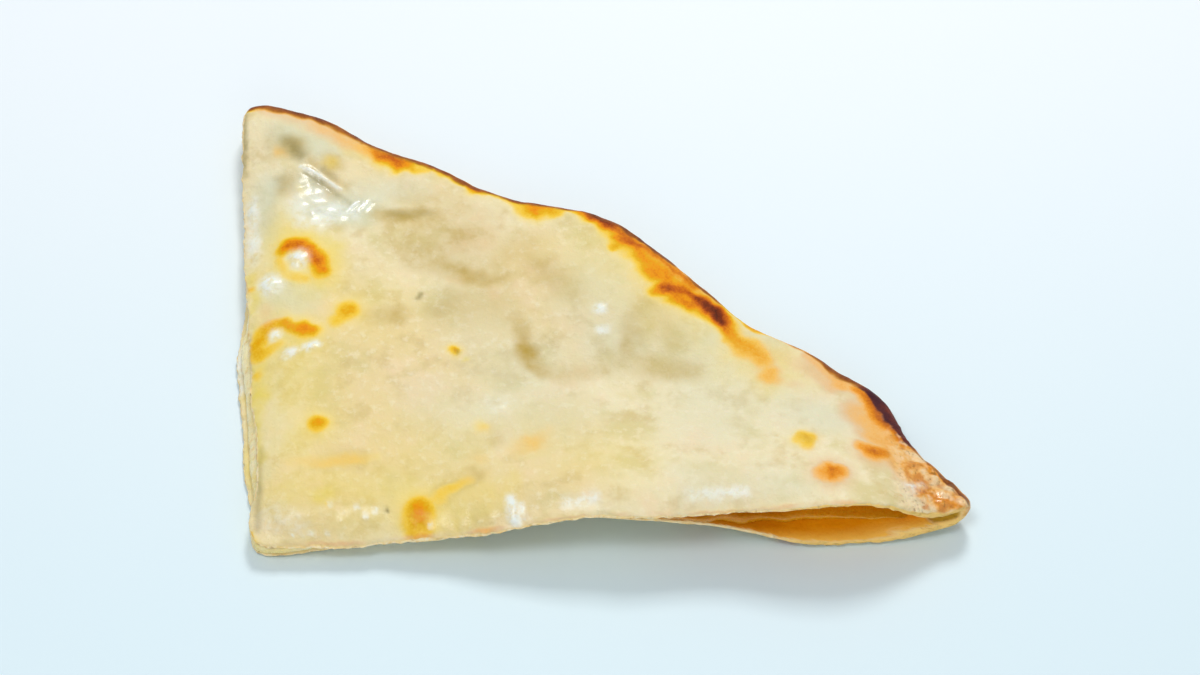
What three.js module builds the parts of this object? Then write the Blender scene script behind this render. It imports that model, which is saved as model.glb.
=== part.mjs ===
// A quarter of a naan filled with mozzarella, cut from the round bread by two straight cuts.
//
// Two thin layers of dough are one piece along the baked crust and lie open at both cuts. A layer of melted
// mozzarella runs through the pocket between them. Near the pointed end of the long cut the upper layer
// stands off the cheese and leaves a shallow open mouth, and beside it the edge arches off the table.
//
// Sizes are in millimetres and +Z is up. In plan, x runs along the long cut and y away from it, measured
// from the corner where the cuts meet, which was the middle of the round bread. The finished quarter is
// moved to stand on z = 0 with the middle of its box over the origin.

import * as THREE from 'three';

// Plan: the angle between the two cuts, and how far the crust lies from their corner at that many degrees
// from the long cut. The first and last distances are the lengths of the cuts.
const CORNER_DEGREES = 93;
const CRUST = [
  [0, 129.6], [1, 129.1], [3, 125.9], [6, 121.9], [9.5, 119.4], [12, 119.3], [14.2, 118.6], [15.5, 116.8],
  [18, 112.5], [22, 108.7], [26, 102], [30, 100.1], [38, 97.4], [46, 96.6], [51, 94.7], [57, 91.3],
  [63, 90.7], [71, 93.4], [76, 93.7], [82, 97.5], [85, 99.8], [87, 100.1], [90.5, 102.2], [93, 102.3],
];
const CRUST_TREND_DEGREES = 6; // stretch over which the crust's small bumps even out
const CORNER_BLUNT = 0.8; // how far the sharp corner between the cuts is worn back
const CORNER_BLUNT_LENGTH = 5;
const TIP_SWEEP = 4.6; // how far the pointed end bends away from the line of the long cut
const TIP_SWEEP_LENGTH = 21;
// Where the short cut leaves its straight line, over what half width, and how far inwards.
const SHORT_CUT_SWINGS = [
  { at: 20, width: 19, inwards: 1.7 },
  { at: 55, width: 5, inwards: 0.8 },
  { at: 72, width: 18, inwards: -0.6 },
  { at: 99, width: 8, inwards: -0.45 },
];
// Where the lower layer sticks out past the upper one along the short cut, and how far.
const SHORT_CUT_SLOPES = [
  { at: 20, width: 11, outwards: 3.2 },
  { at: 41, width: 10, outwards: 3.1 },
];
const RAGGED = 0.3; // the knife's wander along both cuts
const STRAIGHT_LENGTH = 12; // both cuts run straight this close to their corner
const CUT_FADE = 4; // power with which the shape of a cut fades into the bread

// Under the first part of the long cut the lower layer stays back, so the upper one hangs over it.
const UNDERCUT = 2.6;
const UNDERCUT_FROM = 4;
const UNDERCUT_FULL = 20;
const UNDERCUT_FADES = 82;
const UNDERCUT_TO = 102;

// Section: heights of the whole sandwich and of its layers
const BODY = 7.4; // both layers and the cheese, well inside the quarter
const LONG_CUT_EDGE = 3.8; // where the knife pressed the layers together
const SHORT_CUT_EDGE = 4.6;
const CRUST_EDGE = 5.8;
const LAYER = 2.35; // one layer of dough
const LIP = 1.25; // one layer of dough at a cut
const LIP_ROUND = 0.5; // how far the crumb bulges out of a cut
const PRESSED_FROM = -1; // from just outside a cut to this far in, the knife flattened the bread
const PRESSED_WIDTH = 7.5;
const CRUST_TAPER = 15; // how far in from the crust the bread starts to thin
const CRUST_ROUND = 3.2; // depth of the crust's round edge

// Pocket between the layers, which ends where the dough is sealed
const SEALED_CRUST = 9.5;
const SEALED_TIP = 7;
const SEALED_TIP_DEGREES = 6;
const POCKET_ROUND = 1.1;
const POCKET_LEAST = 1.3;
const POCKET_TAPER = 10;
const POCKET_TAPER_END = 0.4; // share of its height that is left at its end
const LINING_DEPTHS = [0.12, 0.88]; // where the pocket's roof and floor lie in the slope of a cut

// Mouth: where the upper layer stands up off the cheese along the long cut
const MOUTH_AT = 106;
const MOUTH_HALF_WIDTHS = [25, 17]; // towards the corner and towards the pointed end
const MOUTH_RISE = 10.4;
const MOUTH_LOWER_LIP = 2.2; // the lower layer is left thicker there

// Cheese
const CHEESE = 2.1;
const CHEESE_IN_MOUTH = 1.2;
const CHEESE_THIN_WIDTH = 14; // how far in from the mouth it is thinner
const CHEESE_DEPTHS = [0.35, 0.75]; // where its upper and lower face lie in the slope of a cut
const CHEESE_GAP = 0.35; // clearance to the dough above and below
const CHEESE_END_GAP = 1.6; // clearance to the pocket's round end
const CHEESE_OOZE = 0.8; // how far it swells out of the cuts
const CHEESE_BACK_IN_MOUTH = 5; // how far behind the lower lip it lies
const CHEESE_BACK_AT = 103;
const CHEESE_BACK_HALF_WIDTH = 17;

// How many rows of points there are from the corner to the crust, and round its edge
const ROWS = 32;
const EDGE_ROWS = 5;

// Oval swellings and hollows: middle, half sizes along and across, turn of the long axis in degrees, rise.
// The underside is lifted by the arch under the long cut and by curled stretches of the crust.
const UNDERSIDE_SEAT = 0.35; // whatever is lifted less than this lies flat on the table
const UNDERSIDE_LIFTS = [
  { x: 62, y: -4, along: 24, across: 22, turn: 0, rise: 7.6 },
  { x: 70, y: 66, along: 30, across: 13, turn: -40, rise: 3.4 },
  { x: -2, y: 100, along: 20, across: 16, turn: -25, rise: 2.6 },
  { x: 129, y: 8, along: 13, across: 11, turn: 0, rise: 2.4 },
  { x: -4, y: 52, along: 9, across: 15, turn: 0, rise: 1.2 },
];
const UPPER_FACE_RELIEF = [
  { x: 103, y: 4, along: 25, across: 17, turn: 6, rise: 5.6 }, // roof of the mouth
  { x: 76, y: 60, along: 22, across: 7, turn: -42, rise: 1.9 }, // blown-up crust at the middle of its arc
  { x: 64, y: 48, along: 14, across: 9, turn: -25, rise: 2 }, // blister beside it
  { x: 50, y: 41, along: 8, across: 3.6, turn: 102, rise: -1.3 }, // the hook round that blister
  { x: 57, y: 33, along: 9, across: 3.6, turn: -14, rise: -1.1 },
  { x: 76, y: 35, along: 9, across: 5, turn: -30, rise: -1.4 },
  { x: 33, y: 58, along: 12, across: 6, turn: -20, rise: -1.1 },
  { x: 25, y: 79, along: 8, across: 4.5, turn: -20, rise: -1 },
  { x: 11, y: 80, along: 9, across: 3.6, turn: -46, rise: -1.7 }, // the creased hollow at the short cut's end
  { x: 4, y: 91, along: 7, across: 6, turn: 0, rise: 0.9 },
  { x: 22, y: 40, along: 12, across: 11, turn: 20, rise: 0.8 },
  { x: 28, y: 20, along: 20, across: 8, turn: 12, rise: 0.8 },
  { x: 46, y: 18, along: 13, across: 4.5, turn: 18, rise: -0.8 },
  { x: 90, y: 24, along: 9, across: 5, turn: 15, rise: -0.7 },
];

const CORNER = THREE.MathUtils.degToRad(CORNER_DEGREES);
const { clamp, lerp, smoothstep } = THREE.MathUtils;

const crustSpline = new THREE.CubicInterpolant(
  CRUST.map(([degrees]) => degrees),
  CRUST.map(([, distance]) => distance),
  1,
);

// Distance from the corner to the crust, in the direction that is this share of the way round from the
// long cut.
function crustDistance(share) {
  return crustSpline.evaluate(share * CORNER_DEGREES)[0];
}

// The same distance without the crust's small bumps, which the inside of the bread doesn't follow.
function crustTrend(share) {
  const step = CRUST_TREND_DEGREES / CORNER_DEGREES;
  const turns = [-step, -step / 2, 0, step / 2, step];
  const around = turns.map((turn) => crustDistance(clamp(share + turn, 0, 1)));
  return around.reduce((sum, each) => sum + each, 0) / around.length;
}

// Distance from the corner to the end of the pocket. The dough is sealed further in at the pointed end.
function pocketDistance(share) {
  const tip = bell(share * CORNER_DEGREES, SEALED_TIP_DEGREES);
  return crustTrend(share) - lerp(SEALED_CRUST, SEALED_TIP, tip);
}

function bell(distance, halfWidth) {
  return Math.exp(-((distance / halfWidth) ** 2));
}

// How far the mouth stands open at this place along the long cut, from 0 to 1.
function mouthShare(x) {
  const [before, after] = MOUTH_HALF_WIDTHS;
  return bell(x - MOUTH_AT, x < MOUTH_AT ? before : after);
}

function mound({ x, y, along, across, turn, rise }, px, py) {
  const angle = THREE.MathUtils.degToRad(turn);
  const u = (px - x) * Math.cos(angle) + (py - y) * Math.sin(angle);
  const v = (py - y) * Math.cos(angle) - (px - x) * Math.sin(angle);
  return rise * bell(u, along) * bell(v, across);
}

function sumOfMounds(list, x, y) {
  return list.reduce((sum, each) => sum + mound(each, x, y), 0);
}

// Directions out of the two cuts, in plan.
const LONG_CUT_OUT = new THREE.Vector2(0, -1);
const SHORT_CUT_OUT = new THREE.Vector2(-Math.sin(CORNER), Math.cos(CORNER));

// The knife's wander off its line. Two waves about 27 and 12 long, shifted by phase.
function wander(distance, phase) {
  return RAGGED * (Math.sin(distance * 0.23 + phase) + 0.7 * Math.sin(distance * 0.51 + 2 * phase));
}

// How far the long cut lies behind its line at this distance from the corner. depth is 0 on the upper face
// and 1 on the underside.
function undercut(distance, depth) {
  const grown = smoothstep(distance, UNDERCUT_FROM, UNDERCUT_FULL);
  const left = 1 - smoothstep(distance, UNDERCUT_FADES, UNDERCUT_TO);
  return UNDERCUT * grown * left * depth;
}

function sumOfBells(list, distance, size) {
  return list.reduce((sum, each) => sum + each[size] * bell(distance - each.at, each.width), 0);
}

// Plan place of a point, from its share of the way round from the long cut, its distance from the corner
// and its depth. back moves the long cut further in still, by a function of the distance.
function planPoint(share, distance, depth, back = () => 0) {
  const angle = share * CORNER;
  const away = smoothstep(distance, 0, STRAIGHT_LENGTH);
  const sweepStart = CRUST[0][1] - TIP_SWEEP_LENGTH;
  const sweep = TIP_SWEEP * Math.max(0, (distance - sweepStart) / TIP_SWEEP_LENGTH) ** 2;
  const longCut = sweep + undercut(distance, depth) + back(distance) + away * wander(distance, 1);
  const swing = sumOfBells(SHORT_CUT_SWINGS, distance, 'inwards');
  const slope = depth * sumOfBells(SHORT_CUT_SLOPES, distance, 'outwards');
  const shortCut = away * (swing - slope + wander(distance, 4));
  const blunt = distance + CORNER_BLUNT * bell(distance, CORNER_BLUNT_LENGTH);
  return new THREE.Vector2(blunt * Math.cos(angle), blunt * Math.sin(angle))
    .addScaledVector(LONG_CUT_OUT, -longCut * (1 - share) ** CUT_FADE)
    .addScaledVector(SHORT_CUT_OUT, -shortCut * share ** CUT_FADE);
}

function underside(x, y) {
  return Math.max(0, sumOfMounds(UNDERSIDE_LIFTS, x, y) - UNDERSIDE_SEAT);
}

// Shares of the way, 0 to 1, from the pressed edge of each cut to the full body of the bread.
function bodyShares(x, y) {
  return {
    fromLongCut: smoothstep(y, PRESSED_FROM, PRESSED_WIDTH),
    fromShortCut: smoothstep(-SHORT_CUT_OUT.dot(new THREE.Vector2(x, y)), PRESSED_FROM, PRESSED_WIDTH),
  };
}

// Gentle waves all over the upper face, up to about half a millimetre.
function unevenness(x, y) {
  return 0.35 * Math.sin(x / 8.3 + y / 19 + 0.6) * Math.sin(y / 7.1 - x / 23 + 1.1)
    + 0.2 * Math.sin(x / 4.1 - y / 9) * Math.sin(y / 4.6 + x / 11);
}

// How far in from the ends given by reach a place lies, on its line from the corner.
function inFrom(reach, x, y) {
  const share = clamp(Math.atan2(y, x) / CORNER, 0, 1);
  return reach(share) - Math.hypot(x, y);
}

// Height of the whole sandwich, from underside to upper face.
function thickness(x, y) {
  const { fromLongCut, fromShortCut } = bodyShares(x, y);
  const body = BODY + sumOfMounds(UPPER_FACE_RELIEF, x, y) + unevenness(x, y);
  const longCutEdge = LONG_CUT_EDGE + MOUTH_RISE * mouthShare(x);
  const atLongCut = lerp(longCutEdge, body, fromLongCut);
  const atShortCut = lerp(Math.min(atLongCut, SHORT_CUT_EDGE), atLongCut, fromShortCut);
  return lerp(CRUST_EDGE, atShortCut, smoothstep(inFrom(crustTrend, x, y), 0, CRUST_TAPER));
}

// Heights of the bread's underside and upper face.
function wholeHeights(x, y) {
  return [underside(x, y), underside(x, y) + thickness(x, y)];
}

// Heights of the pocket's floor and roof.
function pocketHeights(x, y) {
  const whole = thickness(x, y);
  const { fromLongCut, fromShortCut } = bodyShares(x, y);
  const layer = lerp(LIP, LAYER, Math.min(fromLongCut, fromShortCut));
  const inMouth = mouthShare(x) * (1 - fromLongCut);
  const lower = lerp(layer, MOUTH_LOWER_LIP, inMouth);
  const taper = lerp(POCKET_TAPER_END, 1, smoothstep(inFrom(pocketDistance, x, y), 0, POCKET_TAPER));
  const open = (whole - layer - lower) * taper;
  const height = Math.max(POCKET_LEAST, open);
  const middle = (whole - layer + lower) / 2;
  return [underside(x, y) + middle - height / 2, underside(x, y) + middle + height / 2];
}

// Rows of a three-cornered sheet from the corner outwards: row k has k + 1 places from the long cut to the
// short. reach gives each direction's end, depths the depth of the sheet's upper and lower face, and heights
// the height of its lower and upper face at a place.
function sheetRows(reach, depths, heights, back) {
  const place = (share, distance) => {
    const [above, below] = depths.map((depth) => planPoint(share, distance, depth, back));
    const [, high] = heights(above.x, above.y);
    const [low] = heights(below.x, below.y);
    return {
      share,
      distance,
      above: new THREE.Vector3(above.x, above.y, high),
      below: new THREE.Vector3(below.x, below.y, low),
    };
  };
  return Array.from({ length: ROWS + 1 }, (_, k) => Array.from({ length: k + 1 }, (__, j) => {
    const share = k === 0 ? 0.5 : j / k;
    return place(share, (reach(share) * k) / ROWS);
  }));
}

// The rows of one skin in order: over the upper side to the last row, round the edge, and back underneath.
function wrapRows(rows, edgeDepth) {
  const edgePoint = ({ share, distance, above, below }, angle) => {
    const start = planPoint(share, distance, 0);
    const outwards = planPoint(share, distance + edgeDepth * Math.cos(angle), 0).sub(start);
    const point = below.clone().lerp(above, 0.5 + 0.5 * Math.sin(angle));
    return point.add(new THREE.Vector3(outwards.x, outwards.y, 0));
  };
  const edge = Array.from({ length: EDGE_ROWS }, (_, step) => {
    const angle = Math.PI / 2 - (Math.PI * (step + 1)) / (EDGE_ROWS + 1);
    return rows[ROWS].map((place) => edgePoint(place, angle));
  });
  const upper = rows.map((row) => row.map((place) => place.above));
  const lower = rows.map((row) => row.map((place) => place.below));
  return [...upper, ...edge, ...lower.reverse()];
}

// A closed surface that is gathered point by point and face by face.
class Surface {
  points = [];

  faces = [];

  addRow(row) {
    return row.map((point) => this.points.push(point) - 1);
  }

  // Fills the strip between two rows of points, which may hold different numbers of them.
  join(near, far, flip = false) {
    let i = 0;
    let j = 0;
    while (i < near.length - 1 || j < far.length - 1) {
      const nearNext = (i + 1) / Math.max(1, near.length - 1);
      const farNext = (j + 1) / Math.max(1, far.length - 1);
      const stepFar = i === near.length - 1 || (j < far.length - 1 && farNext <= nearNext + 1e-9);
      const third = stepFar ? far[j + 1] : near[i + 1];
      this.faces.push(...(flip ? [near[i], third, far[j]] : [near[i], far[j], third]));
      if (stepFar) j += 1;
      else i += 1;
    }
  }

  joinAll(rows, flip = false) {
    for (let k = 1; k < rows.length; k += 1) this.join(rows[k - 1], rows[k], flip);
  }

  geometry() {
    const made = new THREE.BufferGeometry().setFromPoints(this.points);
    made.setIndex(this.faces);
    made.computeVertexNormals();
    return made;
  }
}

// Points half way between two rows of points, pushed outwards in plan.
function bulgeBetween(surface, one, other, push) {
  return surface.addRow(one.map((index, k) => {
    const middle = surface.points[index].clone().lerp(surface.points[other[k]], 0.5);
    return middle.add(new THREE.Vector3(push(k).x, push(k).y, 0));
  }));
}

function naanBread() {
  const outer = sheetRows((share) => crustDistance(share) - CRUST_ROUND, [0, 1], wholeHeights);
  const inner = sheetRows((share) => pocketDistance(share) - POCKET_ROUND, LINING_DEPTHS, pocketHeights);

  const surface = new Surface();
  const skin = wrapRows(outer, CRUST_ROUND).map((row) => surface.addRow(row));
  const lining = wrapRows(inner, POCKET_ROUND).map((row) => surface.addRow(row));
  surface.joinAll(skin);
  surface.joinAll(lining, true);

  // Both cuts: skin to lining over a row of points between them that bulges out, with one such point shared
  // by the cuts at each end of the rows.
  const last = skin.length - 1;
  const bulge = (one, other, out) => (
    bulgeBetween(surface, one, other, () => out.clone().setLength(LIP_ROUND))
  );
  const ends = [0, last].map((k) => bulge(skin[k], lining[k], LONG_CUT_OUT.clone().add(SHORT_CUT_OUT)));
  const closeCut = (side, out, flip) => {
    const along = (rows, from, to) => rows.slice(from, to).map((row) => row.at(side));
    const middle = bulge(along(skin, 1, last), along(lining, 1, last), out);
    const whole = [...ends[0], ...middle, ...ends[1]];
    surface.join(along(skin, 0), whole, flip);
    surface.join(whole, along(lining, 0), flip);
  };
  closeCut(0, LONG_CUT_OUT, false);
  closeCut(-1, SHORT_CUT_OUT, true);
  return surface.geometry();
}

// The cheese lies on the pocket's floor and fills it to its roof, except in the mouth, where it also stays
// back.
function mozzarellaLayer() {
  const rows = sheetRows(
    (share) => pocketDistance(share) - POCKET_ROUND - CHEESE_END_GAP,
    CHEESE_DEPTHS,
    (x, y) => {
      const [floor, roof] = pocketHeights(x, y);
      const most = lerp(CHEESE, CHEESE_IN_MOUTH, mouthShare(x) * bell(y, CHEESE_THIN_WIDTH));
      return [floor + CHEESE_GAP, Math.min(roof - CHEESE_GAP, floor + CHEESE_GAP + most)];
    },
    (distance) => CHEESE_BACK_IN_MOUTH * bell(distance - CHEESE_BACK_AT, CHEESE_BACK_HALF_WIDTH),
  );

  const surface = new Surface();
  const upper = rows.map((row) => surface.addRow(row.map((place) => place.above)));
  const lower = rows.map((row) => surface.addRow(row.map((place) => place.below)));
  surface.joinAll(upper);
  surface.joinAll(lower, true);

  // Once round the edge: out along the long cut, round the crust and back along the short cut.
  const loop = (sheet) => [
    ...sheet.map((row) => row[0]),
    ...sheet[ROWS].slice(1),
    ...sheet.slice(0, ROWS).map((row) => row.at(-1)).reverse(),
  ];
  // How far the melted edge swells out changes along the cuts.
  const outwards = (k) => {
    const alongCut = k <= ROWS ? k : Math.max(0, 3 * ROWS - k);
    const swollen = 0.45 + 0.55 * Math.sin(alongCut * 1.3) * Math.sin(alongCut * 0.37 + 1);
    if (k > ROWS && k < 2 * ROWS) return new THREE.Vector2();
    return (k <= ROWS ? LONG_CUT_OUT : SHORT_CUT_OUT).clone().multiplyScalar(CHEESE_OOZE * swollen);
  };
  const upperLoop = loop(upper);
  const lowerLoop = loop(lower);
  const middleLoop = bulgeBetween(surface, upperLoop.slice(0, -1), lowerLoop.slice(0, -1), outwards);
  middleLoop.push(middleLoop[0]);
  surface.join(upperLoop, middleLoop);
  surface.join(middleLoop, lowerLoop);
  return surface.geometry();
}

function bakedDough() {
  return new THREE.MeshStandardMaterial({ color: 0xe3d3a0, roughness: 0.62, metalness: 0 });
}

function meltedMozzarella() {
  return new THREE.MeshStandardMaterial({ color: 0xf0e2ae, roughness: 0.32, metalness: 0 });
}

function namedMesh(name, geometry, material) {
  const mesh = new THREE.Mesh(geometry, material);
  mesh.name = name;
  return mesh;
}

const bread = namedMesh('naan_bread', naanBread(), bakedDough());
const cheese = namedMesh('mozzarella_layer', mozzarellaLayer(), meltedMozzarella());

const box = new THREE.Box3().setFromObject(bread);
const middle = box.getCenter(new THREE.Vector3());
const quarter = new THREE.Group();
quarter.position.set(-middle.x, -middle.y, -box.min.z);
quarter.add(bread, cheese);

const naan = new THREE.Group();
naan.add(quarter);

export default naan;
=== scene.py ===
"""A wedge of mozzarella naan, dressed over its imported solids.

Lengths are millimetres until a mesh, a light or a material is made of them.
"""
import math

import bpy
import numpy as np
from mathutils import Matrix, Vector, noise
from mathutils.bvhtree import BVHTree


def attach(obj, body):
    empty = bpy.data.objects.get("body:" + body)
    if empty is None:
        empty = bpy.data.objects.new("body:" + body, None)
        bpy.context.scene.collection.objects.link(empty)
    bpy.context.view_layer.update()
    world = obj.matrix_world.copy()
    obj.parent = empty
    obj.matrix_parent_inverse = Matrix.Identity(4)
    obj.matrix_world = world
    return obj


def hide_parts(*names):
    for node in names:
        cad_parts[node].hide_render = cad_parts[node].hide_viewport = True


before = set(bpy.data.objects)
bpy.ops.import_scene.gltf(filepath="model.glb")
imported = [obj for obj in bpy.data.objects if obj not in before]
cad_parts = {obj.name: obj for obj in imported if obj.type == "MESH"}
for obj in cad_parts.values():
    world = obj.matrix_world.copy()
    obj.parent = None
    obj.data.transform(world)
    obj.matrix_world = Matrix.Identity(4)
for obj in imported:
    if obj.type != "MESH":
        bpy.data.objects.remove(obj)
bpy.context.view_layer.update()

MM = 0.001

# Plan places are counted from the corner where the two cuts meet, x along the long cut and y away from it.
CORNER = np.array([-61.784, -50.677])
SHORT_CUT_DEGREES = 93
SHORT_CUT_TURN = np.radians(SHORT_CUT_DEGREES)

# Distance of the crust from the corner, by the angle from the long cut in degrees.
CRUST = [
    (0, 129.6), (1, 129.1), (3, 125.9), (6, 121.9), (9.5, 119.4), (12, 119.3), (14.2, 118.6), (15.5, 116.8),
    (18, 112.5), (22, 108.7), (26, 102), (30, 100.1), (38, 97.4), (46, 96.6), (51, 94.7), (57, 91.3),
    (63, 90.7), (71, 93.4), (76, 93.7), (82, 97.5), (85, 99.8), (87, 100.1), (90.5, 102.2), (93, 102.3),
]
CRUST_STEP_DEGREES = 0.5


# Camera, light and floor, in metres

CAMERA_ELEVATION = math.radians(53)
CAMERA_SWING = math.radians(1.4)
CAMERA_DISTANCE = 0.56
AIM = Vector((0.00118, -0.00312, 0))
# the lens and the sensor's width, in mm
LENS = 89.5
SENSOR = 36
ROOM_LIGHT = (0.95, 0.975, 1, 1)
ROOM_STRENGTH = 0.43
FLOOR_SIZE = 6
# the floor's colour changes between these places, from front to back
FLOOR_FRONT = -0.09
FLOOR_BACK = 0.1


def look_at(thing, place, target):
    """Puts a camera or light at a place, turned to a target."""
    thing.location = place
    thing.rotation_euler = (Vector(target) - Vector(place)).to_track_quat("-Z", "Y").to_euler()


camera = bpy.data.objects.new("camera", bpy.data.cameras.new("camera"))
bpy.context.collection.objects.link(camera)
camera.data.sensor_width = SENSOR
camera.data.lens = LENS
towards_camera = Vector((
    -math.cos(CAMERA_ELEVATION) * math.sin(CAMERA_SWING),
    -math.cos(CAMERA_ELEVATION) * math.cos(CAMERA_SWING),
    math.sin(CAMERA_ELEVATION),
))
look_at(camera, AIM + towards_camera * CAMERA_DISTANCE, AIM)
bpy.context.scene.camera = camera


def soft_light(name, place, width, power, colour):
    """A square lamp of a width in metres and a power in watts, turned to the part."""
    light = bpy.data.lights.new(name, "AREA")
    light.shape = "SQUARE"
    light.size = width
    light.energy = power
    light.color = colour
    lamp = bpy.data.objects.new(name, light)
    bpy.context.collection.objects.link(lamp)
    look_at(lamp, place, (0, 0, 0))


soft_light("window_behind", place=(0.12, 0.62, 0.74), width=0.24, power=4.5, colour=(1, 0.985, 0.96))
soft_light("ceiling", place=(-0.22, -0.16, 0.86), width=0.3, power=2.0, colour=(1, 1, 1))
soft_light("front", place=(0.05, -0.62, 0.2), width=0.5, power=0.9, colour=(1, 0.92, 0.8))
room = bpy.data.worlds.new("room")
room.use_nodes = True
room.node_tree.nodes["Background"].inputs["Color"].default_value = ROOM_LIGHT
room.node_tree.nodes["Background"].inputs["Strength"].default_value = ROOM_STRENGTH
bpy.context.scene.world = room
bpy.context.scene.view_settings.view_transform = "Standard"


# Materials. Arithmetic on a Value adds Math nodes.


def linear(red, green, blue):
    """A colour as a screen shows it, 0 to 255, in the shader's own values."""
    def one(value):
        value /= 255
        return value / 12.92 if value <= 0.04045 else ((value + 0.055) / 1.055) ** 2.4
    return (one(red), one(green), one(blue), 1)


class Value:
    """A socket among a finish's nodes."""

    def __init__(self, finish, socket):
        self.finish = finish
        self.socket = socket

    def math(self, operation, first, second):
        return self.finish.node("ShaderNodeMath", {"operation": operation}, {0: first, 1: second})

    def __add__(self, other):
        return self.math("ADD", self, other)

    __radd__ = __add__

    def __sub__(self, other):
        return self.math("SUBTRACT", self, other)

    def __rsub__(self, other):
        return self.math("SUBTRACT", other, self)

    def __mul__(self, other):
        return self.math("MULTIPLY", self, other)

    __rmul__ = __mul__

    def or_more(self, other):
        """The larger of the two."""
        return self.math("MAXIMUM", self, other)


class Finish:
    """A material of one Principled shader and the nodes that feed it."""

    def __init__(self, name, **constants):
        self.material = bpy.data.materials.new(name)
        self.material.use_nodes = True
        self.tree = self.material.node_tree
        self.shader = self.tree.nodes["Principled BSDF"]
        for socket, value in constants.items():
            self.shader.inputs[socket.replace("_", " ").title().replace("Ior", "IOR")].default_value = value
        self.place = self.node("ShaderNodeTexCoord", output="Object")

    def node(self, kind, settings=None, values=None, output=0):
        """Any node: its settings first, then the values or links of its sockets."""
        made = self.tree.nodes.new(kind)
        for name, setting in (settings or {}).items():
            if name == "stops":
                ramp = made.color_ramp.elements
                while len(ramp) < len(setting):
                    ramp.new(1)
                for stop, (position, colour) in zip(ramp, setting):
                    stop.position = position
                    stop.color = colour
            else:
                setattr(made, name, setting)
        for name, value in (values or {}).items():
            if isinstance(value, Value):
                self.tree.links.new(value.socket, made.inputs[name])
            else:
                made.inputs[name].default_value = value
        return Value(self, made.outputs[output])

    def feed(self, socket, value):
        """Links a value to a socket of the shader."""
        self.tree.links.new(value.socket, self.shader.inputs[socket])

    def mask(self, name):
        """A mask that write_masks keeps on the piece."""
        return self.node("ShaderNodeAttribute", {"attribute_name": name}, output="Fac")

    def mottle(self, size, detail=2.0, rough=0.5, place=None):
        """Noise from 0 to 1 with patches of about a size in mm."""
        return self.node(
            "ShaderNodeTexNoise", {"noise_dimensions": "3D"},
            {"Vector": place or self.place, "Scale": 1 / (size * MM), "Detail": detail, "Roughness": rough},
        )

    def ease(self, value, low, high, start=0.0, end=1.0):
        """A smooth step from start to end as a value goes from low to high."""
        return self.node(
            "ShaderNodeMapRange", {"interpolation_type": "SMOOTHSTEP"},
            {"Value": value, "From Min": low, "From Max": high, "To Min": start, "To Max": end},
        )

    def ramp(self, value, stops):
        """A colour from stops of (value, colour)."""
        return self.node("ShaderNodeValToRGB", {"stops": stops}, {"Fac": value})

    def blend(self, amount, under, over, mode="MIX"):
        """Two colours mixed by an amount from 0 to 1."""
        settings = {"data_type": "RGBA", "blend_type": mode}
        return self.node("ShaderNodeMix", settings, {0: amount, 6: under, 7: over}, output=2)

    def layers(self, colour, *coats):
        """A colour with coats of (amount, colour) laid over it in turn."""
        for amount, coat in coats:
            colour = self.blend(amount, colour, coat)
        return colour

    def emboss(self, height, depth, strength):
        """Feeds Normal with a height from 0 to 1 that stands for a depth in mm."""
        values = {"Height": height, "Distance": depth * MM, "Strength": strength}
        self.feed("Normal", self.node("ShaderNodeBump", {}, values))


def floor_finish():
    """A matt pale floor, a little bluer towards the viewer."""
    finish = Finish("pale_floor", roughness=0.6)
    depth = finish.node("ShaderNodeSeparateXYZ", {}, {0: finish.place}, output="Y")
    amount = finish.ease(depth, FLOOR_FRONT, FLOOR_BACK)
    finish.feed("Base Color", finish.blend(amount, linear(217, 237, 246), linear(234, 242, 248)))
    return finish.material


bpy.ops.object.select_all(action="DESELECT")
bpy.ops.mesh.primitive_plane_add(size=FLOOR_SIZE, location=(0, 0, 0))
floor = bpy.context.object
floor.name = "floor"
floor.data.materials.append(floor_finish())


# Measuring in plan

# farther than any distance on the piece, in mm
FAR = 1e9


def plan(points):
    """Plan places from the corner of the cuts, for points in the part's frame."""
    return points[:, :2] - CORNER


def flat(places):
    """Plan places as points of height 0, for patterns that follow the plan."""
    return np.column_stack([places, np.zeros(len(places))])


def from_short_cut(places):
    """How far each place lies from the short cut."""
    return places[:, 0] * np.sin(SHORT_CUT_TURN) - places[:, 1] * np.cos(SHORT_CUT_TURN)


def steps(value, low, high):
    """A smooth step from 0 to 1 as a value goes from low to high."""
    share = np.clip((value - low) / (high - low), 0, 1)
    return share * share * (3 - 2 * share)


def fade(value, low, high):
    """A smooth step from 1 to 0 as a value goes from low to high."""
    return 1 - steps(value, low, high)


def band(value, rise, fall):
    """From 0 to 1 over the pair of values in rise, and back to 0 over the pair in fall."""
    return steps(value, *rise) * fade(value, *fall)


def ripple(points, size, seed, octaves=2):
    """Smooth noise of about -1 to 1, with waves of a size in mm. Each seed has waves of its own."""
    shift = Vector((seed * 17.3, seed * -5.1, seed * 29.7))
    return np.array([noise.fractal(Vector(p) / size + shift, 1.0, 2.0, octaves) for p in points])


def creases(points, size, seed):
    """Crumpled noise, 0 at the creases and up to about 1 between them."""
    shift = Vector((seed * 7.7, seed * 13.1, seed * -3.3))
    found = np.empty(len(points))
    for index, point in enumerate(points):
        distances = noise.voronoi(Vector(point) / size + shift)[0]
        found[index] = distances[1] - distances[0]
    return found


def nearest_on_segment(places, start, end):
    """For places in plan: the share of the way from start to end where each is nearest, and how far off."""
    way = end - start
    # a stroke of one dab has no length
    length_squared = max(float(way @ way), 1e-9)
    share = np.clip(((places - start) @ way) / length_squared, 0, 1)
    return share, np.hypot(*(places - start - share[:, None] * way).T)


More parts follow.
